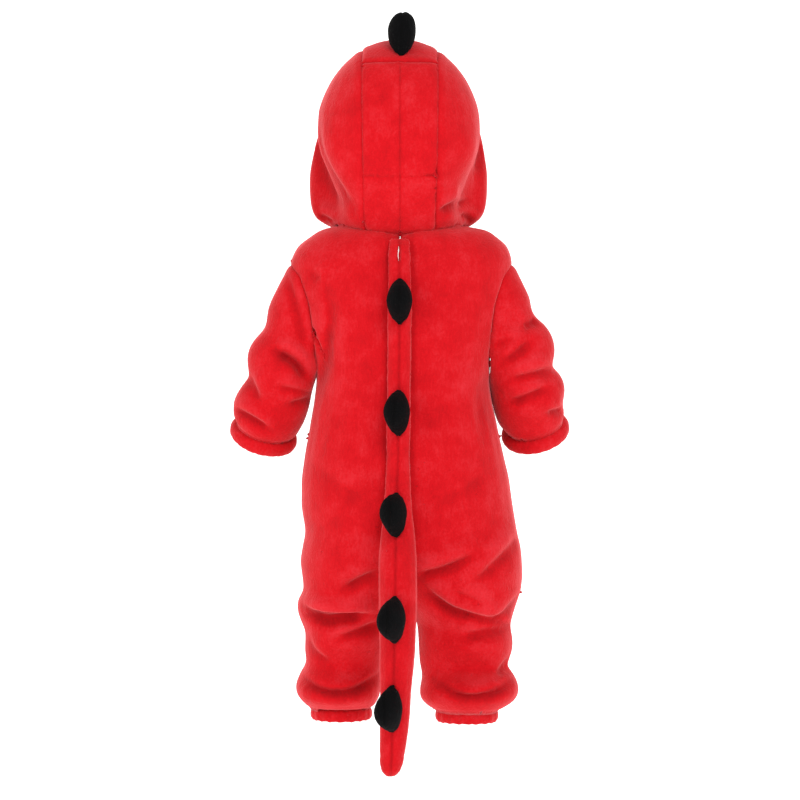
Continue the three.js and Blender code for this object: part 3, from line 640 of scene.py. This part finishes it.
# %% Seams, folds and swell
SEAM_DEPTH = 1.5
SEAM_WIDTH = 3.0
SWELL = 0.8
ALLOWANCE = 1.5  # mm that an outline reaches over its neighbour
TUCKED_FROM = 0.3  # how well the outward direction of an edge point has to agree with the way in
TUCKS = [
    # Where an edge goes into another piece: start of the pieces' names, middle of the place and its radius,
    # the way in, and how far the edge goes and how deep it sinks, all in mm
    ("sleeve_left", (157, -31, -221), 75, (0.35, -0.5, -0.8), 17, 1.5),
    ("sleeve_right", (-156, -31, -218), 75, (-0.35, -0.5, -0.8), 17, 1.5),
    ("sleeve_left", (95, 5, -125), 40, (-1, 0, 0), 4, 0.5),
    ("sleeve_right", (-100, 5, -125), 40, (1, 0, 0), 4, 0.5),
    ("hood_nape", (0, 60, 5), 60, (0, -0.3, -0.95), 11, 2.5),
    ("hood", (0, 20, 5), 95, (0, -0.3, -0.95), 8, 1.5),
    ("back", (0, 20, 5), 75, (0, -0.5, 0.85), 9, 0.5),
    ("front", (0, -20, -5), 75, (0, 0.5, 0.85), 8, 1.0),
    ("back_left", (67, -7, -540), 75, (0, 0, -1), 4.5, 0.5),
    ("front_left", (67, -7, -540), 75, (0, 0, -1), 4.5, 0.5),
    ("back_right", (-76, 22, -540), 75, (0, 0, -1), 4.5, 0.5),
    ("front_right", (-76, 22, -540), 75, (0, 0, -1), 4.5, 0.5),
]


def tuck(node, place, away, normal):
    """How an outline point moves: a little over its neighbour, or well into the piece that holds it."""
    for pieces, middle, reach, way, far, deep in TUCKS:
        near = (place - Vector(middle) * MM).length < reach * MM
        way_in = Vector(way).normalized()
        if node.startswith(pieces) and near and away.dot(way_in) > TUCKED_FROM:
            return (way_in * far - normal * deep) * MM
    return away * ALLOWANCE * MM


def reach_over(bm, node):
    bm.normal_update()
    moves = []
    for v in bm.verts:
        beside = [e.other_vert(v).co for e in v.link_edges if e.is_boundary]
        inner = [e.other_vert(v).co for e in v.link_edges if not e.is_boundary]
        if len(beside) == 2 and inner:
            away = v.normal.cross(beside[1] - beside[0]).normalized()
            if away.dot(v.co - sum(inner, Vector()) / len(inner)) < 0:
                away = -away
            moves.append((v, tuck(node, v.co, away, v.normal)))
    for v, move in moves:
        v.co += move


def away_from_outline(mesh):
    uses = np.zeros(len(mesh.edges), int)
    edge_of_loop = np.empty(len(mesh.loops), int)
    mesh.loops.foreach_get("edge_index", edge_of_loop)
    np.add.at(uses, edge_of_loop, 1)
    outline = {v for e in np.flatnonzero(uses == 1) for v in mesh.edges[int(e)].vertices}
    tree = KDTree(len(outline))
    for v in outline:
        tree.insert(mesh.vertices[v].co, v)
    tree.balance()
    return np.array([tree.find(v.co)[2] for v in mesh.vertices]) / MM


# The strip's middle, half width and height, from the neck down
STRIP = [(0.5, 12, 0), (0.5, 13.3, -60), (1, 13.2, -150), (2, 13, -240), (2.5, 16.5, -312), (2.5, 19, -335)]
STRIP_SEAM = (2.2, 4.5)  # mm deep and wide


def strip_seams(points, normals):
    """The dip of the back along both edges of the stuffed strip."""
    x, _, z = points.T
    middle, half, level = (np.array(column, float) for column in zip(*STRIP))
    off = np.abs(x - np.interp(-z, -level, middle)) - np.interp(-z, -level, half)
    on_strip = smooth_step(-350, -325, z) * smooth_step(0.2, 0.6, normals[:, 1])
    depth, width = STRIP_SEAM
    return -depth * np.exp(-((np.maximum(off, 0) / width) ** 2)) * on_strip


def shape_cloth(made, folds):
    points, normals = read_points(made.data), read_normals(made.data)
    away = away_from_outline(made.data)
    seam = -SEAM_DEPTH * np.exp(-((away / SEAM_WIDTH) ** 2))
    seam += 0.5 * np.exp(-(((away - 2.8 * SEAM_WIDTH) / (1.6 * SEAM_WIDTH)) ** 2))
    folding = fold_field(points, normals, folds) * smooth_step(-2, 7, away)
    if folds is BODY_FOLDS:
        seam += strip_seams(points, normals)
    move = seam + folding + SWELL * uneven(points) * smooth_step(0, 16, away)
    stitched = 0.2 * np.exp(-((away / 2.0) ** 2)) * (0.7 + 0.3 * uneven(points * 9))
    # painted shade and highlight: darker in fold troughs and seam grooves, lighter on fold ridges; stitched
    # is the darker stitch line along each seam
    shade = np.tanh((folding + 0.4 * seam) / 4.0)
    painted_shade_and_stitches = 0.5 + np.where(shade > 0, 0.14, 0.34) * shade - stitched
    move_points(made.data, points + normals * move[:, None], painted_shade_and_stitches)


# %% Make the cloth pieces
CLOTH = 3  # mm, as thick as the wall that it stands for
FINE = 2.6  # mm, the longest edge of the finished cloth
CLOTH_PIECES = [
    # node, core, folds, rectangle that the cut lies in (m), area of the cut (square metres)
    ("back_left", BODY_CORES["left"], BODY_FOLDS, (0.19, 0.57), 0.091),
    ("back_right", BODY_CORES["right"], BODY_FOLDS, (0.19, 0.57), 0.096),
    ("front_left", BODY_CORES["left"], BODY_FOLDS, (0.19, 0.57), 0.089),
    ("front_right", BODY_CORES["right"], BODY_FOLDS, (0.19, 0.57), 0.097),
    ("sleeve_left", SLEEVE_CORES["left"], SLEEVE_FOLDS, (0.25, 0.215), 0.034),
    ("sleeve_right", SLEEVE_CORES["right"], SLEEVE_FOLDS, (0.25, 0.215), 0.033),
    ("hood_side_left", HEAD_CORE, HOOD_FOLDS, (0.25, 0.24), 0.042),
    ("hood_side_right", HEAD_CORE, HOOD_FOLDS, (0.25, 0.24), 0.042),
    ("hood_crown", HEAD_CORE, HOOD_FOLDS, (0.09, 0.2), 0.017),
    ("hood_back_left", HEAD_CORE, [], (0.045, 0.135), 0.0059),
    ("hood_back_right", HEAD_CORE, [], (0.045, 0.135), 0.0059),
    ("hood_nape_left", HEAD_CORE, [], (0.043, 0.068), 0.0028),
    ("hood_nape_right", HEAD_CORE, [], (0.043, 0.068), 0.0028),
]


def finish_piece(made, node, material):
    made.data.materials.append(material)
    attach(made, "garment")
    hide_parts(node)
    return made


def make_cloth(node, core, folds, flat, area):
    bm = peel(node, core)
    soften(bm, FINE)
    reach_over(bm, node)
    made = make_object(f"{node}_cloth", bm)
    shape_cloth(made, folds)
    wall = made.modifiers.new("wall", "SOLIDIFY")
    wall.thickness = CLOTH * MM
    wall.offset = -1
    return finish_piece(made, node, red_plush)


for row in CLOTH_PIECES:
    made = make_cloth(*row)
    area = sum(p.area for p in made.data.polygons) * 1e4
    print(row[0], "faces:", len(made.data.polygons), "area in cm2:", round(area))

# %% [markdown]
# ## Cuffs and ankle bands
#
# Both are folded cloth, so they are closed rings. A sleeve ends in a plain turned cuff, and a leg in a band
# that is gathered on elastic. A merged copy of the ring, divided and smoothed, keeps the roll of the
# cuff and the gathers of the band, and the same seam and swell that the cloth has ties them together.

# %% Soft closed pieces


def make_soft(node, material, fine, rounds=6, swell=0.3, mark=None, bm=None):
    """A smoothed copy of a closed piece. mark gives moves along the normals and the painted shade of its
    seams.
    """
    bm = bm or copy_of(node)
    soften(bm, fine, rounds, CROWDED_SOLID)
    made = make_object(f"{node}_soft", bm)
    points, normals = read_points(made.data), read_normals(made.data)
    move = swell * uneven(points * 1.7)
    painted_shade_and_stitches = np.full(len(points), 0.5)
    if mark:
        marked, painted_seam_shade = mark(points, normals)
        move, painted_shade_and_stitches = move + marked, painted_shade_and_stitches - painted_seam_shade
    move_points(made.data, points + normals * move[:, None], painted_shade_and_stitches)
    return finish_piece(made, node, material)


for side in ("left", "right"):
    cuff = make_soft(f"cuff_{side}", red_plush, 2.4, swell=0.7)
    band = make_soft(f"ankle_band_{side}", red_plush, 1.8, rounds=4, swell=0.4)
    for made in (cuff, band):
        print(made.name, "half its surface in cm2:", round(sum(p.area for p in made.data.polygons) * 5e3))

# %% [markdown]
# ## Stuffed spine, tail and spikes
#
# The strip down the back and the tail are stuffed tubes of the same plush, each sewn from two halves, so
# a seam runs down the middle. A spike is two leaf-shaped pieces of black plush, sewn round the rim and
# turned: the seam runs over its ridge. The stuffing keeps them full, so their shape is the frame's,
# smoothed, with the seam pressed into it.

# %% Strip and tail
PRESSED = (1.3, 1.7)  # how deep and how wide the middle seam is, in mm
PRESSED_SHADE = 0.22
MIDDLE_SEAM = [(0.5, 0), (0.5, -105), (2, -240), (4.5, -320), (5.5, -420), (7.5, -520), (10, -594)]  # (x, z)


def middle_seam(points, normals):
    x, _, z = points.T
    seam_x, seam_z = zip(*MIDDLE_SEAM)
    off = x - np.interp(-z, [-value for value in seam_z], seam_x)
    line = np.exp(-((off / PRESSED[1]) ** 2)) * smooth_step(0.1, 0.6, normals[:, 1])
    return -PRESSED[0] * line, PRESSED_SHADE * line


JOIN = -330  # z where the strip's end and the tail's end face each other


LIFT = 2.5  # mm


def raise_top(bm):
    """Lift the strip's top and its slit clear of the back, but not the end that goes into the neck seam."""
    for v in bm.verts:
        height = v.co.z / MM
        v.co.y += LIFT * float(smooth_step(-66, -34, height) * (1 - smooth_step(-8, 0, height))) * MM


def strip_and_tail():
    bm = copy_of("spine_strip")
    bm.from_mesh(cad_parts["tail"].data)
    bmesh.ops.remove_doubles(bm, verts=bm.verts, dist=MERGE * MM)
    bm.normal_update()
    ends = [f for f in bm.faces if abs(f.calc_center_median().z / MM - JOIN) < 0.6 and abs(f.normal.z) > 0.9]
    bmesh.ops.delete(bm, geom=ends, context="FACES")
    rims = [e for e in bm.edges if e.is_boundary]
    bmesh.ops.bridge_loops(bm, edges=rims)
    bmesh.ops.triangulate(bm, faces=[f for f in bm.faces if len(f.verts) > 3])
    print("ends removed:", len(ends), "open edges left:", sum(e.is_boundary for e in bm.edges))
    raise_top(bm)
    refine(bm, MEDIUM, CROWDED_SOLID)
    return bm


bm = strip_and_tail()
tail = make_soft("spine_strip", red_plush, 2.2, swell=0.6, mark=middle_seam, bm=bm)
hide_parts("spine_strip", "tail")
print("strip and tail faces:", len(tail.data.polygons))

# %% Spikes
SPIKE_TURNS = {  # degrees that each leans up from straight back
    "spike_hood": 61,
    "spike_neck": 2,
    "spike_back": 3,
    "spike_seat": 12,
    "spike_tail": 3,
    "spike_tip": -3,
}


def ridge_seam(turn):
    out = np.array([0, math.cos(math.radians(turn)), math.sin(math.radians(turn))])
    base = np.array([0, -out[2], out[1]])

    def mark(points, normals):
        height, along = points @ out, points @ base
        high = height > np.quantile(height, 0.8)
        slope, start = np.polyfit(along[high], points[high, 0], 1)
        off = points[:, 0] - (slope * along + start)
        line = np.exp(-((off / 1.5) ** 2)) * smooth_step(0.0, 0.5, normals @ out)
        # the second value darkens the seam over the ridge: painted shade in its groove
        return -1.2 * line, 0.25 * line

    return mark


for node, turn in SPIKE_TURNS.items():
    spike = make_soft(node, black_plush, 1.6, rounds=5, swell=0.5, mark=ridge_seam(turn))
print("spikes:", len(SPIKE_TURNS))

# %% [markdown]
# ## Stuffing in the open slit
#
# Just under the hood the strip's seam is left open for a few centimetres, and white polyester fibre shows
# in it. Fibre fill is a tangle of crimped hairs that scatter nearly all light, so a fine, broken
# relief on a nearly white, very rough surface is enough at this size.

# %% Fibre fill
fibre, tree, surface = new_material("polyester_fibre_fill")
place = add_node(tree, "ShaderNodeTexCoord").outputs["Object"]
crimp = add_node(
    tree, "ShaderNodeTexNoise", {"Scale": per_metre(1.1), "Detail": 4, "Distortion": 1.2}, {"Vector": place}
)
shade = add_node(tree, "ShaderNodeValToRGB", links={"Fac": crimp.outputs["Fac"]})
shade.color_ramp.elements[0].position = 0.3
shade.color_ramp.elements[0].color = linear("#D9D3D0")
shade.color_ramp.elements[1].position = 0.6
shade.color_ramp.elements[1].color = linear("#FBF9F7")
relief = add_node(
    tree, "ShaderNodeBump", {"Strength": 0.8, "Distance": 0.6 * MM}, {"Height": crimp.outputs["Fac"]}
)
tree.links.new(shade.outputs["Color"], surface.inputs["Base Color"])
tree.links.new(relief.outputs["Normal"], surface.inputs["Normal"])
surface.inputs["Roughness"].default_value = 1.0
bm = copy_of("slit_filling")
raise_top(bm)
filling = make_soft("slit_filling", fibre, 1.0, rounds=2, swell=0.1, bm=bm)
print("filling faces:", len(filling.data.polygons))

# %% [markdown]
# ## Zip
#
# A nylon coil zip closes the front: two woven tapes, a row of coils on each that mesh in the middle, and a
# metal slider with a pull tab. The tape is a twill, whose ribs catch the light in fine diagonal lines.
# The coils are moulded nylon, small and repeated hundreds of times, so each is one bevelled block.

# %% Tape
RIB = 0.8  # mm between the ribs of the twill
twill, tree, surface = new_material("woven_zip_tape_red")
place = add_node(tree, "ShaderNodeTexCoord").outputs["Object"]
turned = add_node(tree, "ShaderNodeMapping", {"Rotation": (0, math.radians(35), 0)}, {"Vector": place})
ribs = add_node(
    tree,
    "ShaderNodeTexWave",
    {"Scale": 0.314 * per_metre(RIB), "Distortion": 0.4, "Detail": 1},
    {"Vector": turned.outputs["Vector"]},
    bands_direction="Z",
)
# the tape's red, lighter on the rib tops and darker between them: painted highlight and shade along the
# twill
dye_and_rib_light = add_node(tree, "ShaderNodeValToRGB", links={"Fac": ribs.outputs["Fac"]})
dye_and_rib_light.color_ramp.elements[0].color = linear("#8E0A12")
dye_and_rib_light.color_ramp.elements[1].color = linear("#C8141E")
relief = add_node(
    tree, "ShaderNodeBump", {"Strength": 0.5, "Distance": 0.25 * MM}, {"Height": ribs.outputs["Fac"]}
)
tree.links.new(dye_and_rib_light.outputs["Color"], surface.inputs["Base Color"])
tree.links.new(relief.outputs["Normal"], surface.inputs["Normal"])
surface.inputs["Roughness"].default_value = 0.7
tapes = {}
for side in ("left", "right"):
    tapes[side] = make_soft(f"zip_tape_{side}", twill, 4.0, rounds=2, swell=0.0)
    half = sum(p.area for p in tapes[side].data.polygons) * 5e3
    print(tapes[side].name, "half its surface in cm2:", round(half, 1))

# %% [markdown]
# The coils follow the tape. A ray from the front finds the tape's surface at each height, and a pair of
# neighbouring hits gives the slope, so every block lies flat on the cloth.

# %% Coils
PITCH = 2.5  # mm between coils on one side
ZIP_TOP, ZIP_BOTTOM = -33, -318
COIL = (2.6, 1.3, 1.0)  # across, out of the cloth, along
nylon, tree, surface = new_material("moulded_nylon_red")
place = add_node(tree, "ShaderNodeTexCoord").outputs["Object"]
worn = add_node(tree, "ShaderNodeTexNoise", {"Scale": per_metre(6), "Detail": 2}, {"Vector": place})
tint = add_node(tree, "ShaderNodeValToRGB", links={"Fac": worn.outputs["Fac"]})
tint.color_ramp.elements[0].color = linear("#9C0A14")
tint.color_ramp.elements[1].color = linear("#CE1824")
tree.links.new(tint.outputs["Color"], surface.inputs["Base Color"])
surface.inputs["Roughness"].default_value = 0.38

tape_skin = bmesh.new()
for side in ("left", "right"):
    tape_skin.from_mesh(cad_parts[f"zip_tape_{side}"].data)
tape_tree = BVHTree.FromBMesh(tape_skin)
tape_skin.free()


def tape_front(x, z):
    hit = tape_tree.ray_cast(Vector((x, -200, z)) * MM, Vector((0, 1, 0)))[0]
    return None if hit is None else hit.y / MM


bm = bmesh.new()
count = 0
for k in range(int((ZIP_TOP - ZIP_BOTTOM) / (PITCH / 2))):
    z = ZIP_TOP - k * PITCH / 2
    x = 0.7 if k % 2 else -0.7
    here, below = tape_front(2.5 * x, z), tape_front(2.5 * x, z - 3)
    if here is None or below is None:
        continue
    made = bmesh.ops.create_cube(bm, size=1)["verts"]
    bmesh.ops.scale(bm, verts=made, vec=Vector(COIL) * MM)
    lean = Matrix.Rotation(math.atan2(here - below, 3), 4, "X")
    bmesh.ops.rotate(bm, verts=made, cent=(0, 0, 0), matrix=lean)
    bmesh.ops.translate(bm, verts=made, vec=Vector((x, here - 0.35, z)) * MM)
    count += 1
bmesh.ops.bevel(
    bm, geom=list(bm.edges), offset=0.28 * MM, segments=1, profile=0.5, affect="EDGES", material=-1
)
coils = make_object("zip_coils", bm, smooth=False)
coils.data.materials.append(nylon)
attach(coils, "garment")
print("coils:", count)

# %% [markdown]
# The slider and its pull are die-cast metal with a nickel finish. Their shape in the frame is right, so
# they stay as they are and only get their metal: nearly smooth, a little cloudy where fingers have
# dulled the plating.

# %% Slider and pull
nickel, tree, surface = new_material("nickel_plated_zinc")
place = add_node(tree, "ShaderNodeTexCoord").outputs["Object"]
handled = add_node(tree, "ShaderNodeTexNoise", {"Scale": per_metre(4), "Detail": 3}, {"Vector": place})
cloudy = add_node(
    tree, "ShaderNodeMapRange", {"To Min": 0.2, "To Max": 0.42}, {"Value": handled.outputs["Fac"]}
)
plating = add_node(tree, "ShaderNodeValToRGB", links={"Fac": handled.outputs["Fac"]})
plating.color_ramp.elements[0].color = linear("#A9A7A3")
plating.color_ramp.elements[1].color = linear("#CFCDC9")
tree.links.new(plating.outputs["Color"], surface.inputs["Base Color"])
tree.links.new(cloudy.outputs["Result"], surface.inputs["Roughness"])
surface.inputs["Metallic"].default_value = 1.0
for node in ("zip_slider", "zip_pull"):
    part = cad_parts[node]
    if not part.material_slots:
        part.data.materials.append(nickel)
    for held in part.material_slots:
        held.material = nickel
print("metal parts: 2")
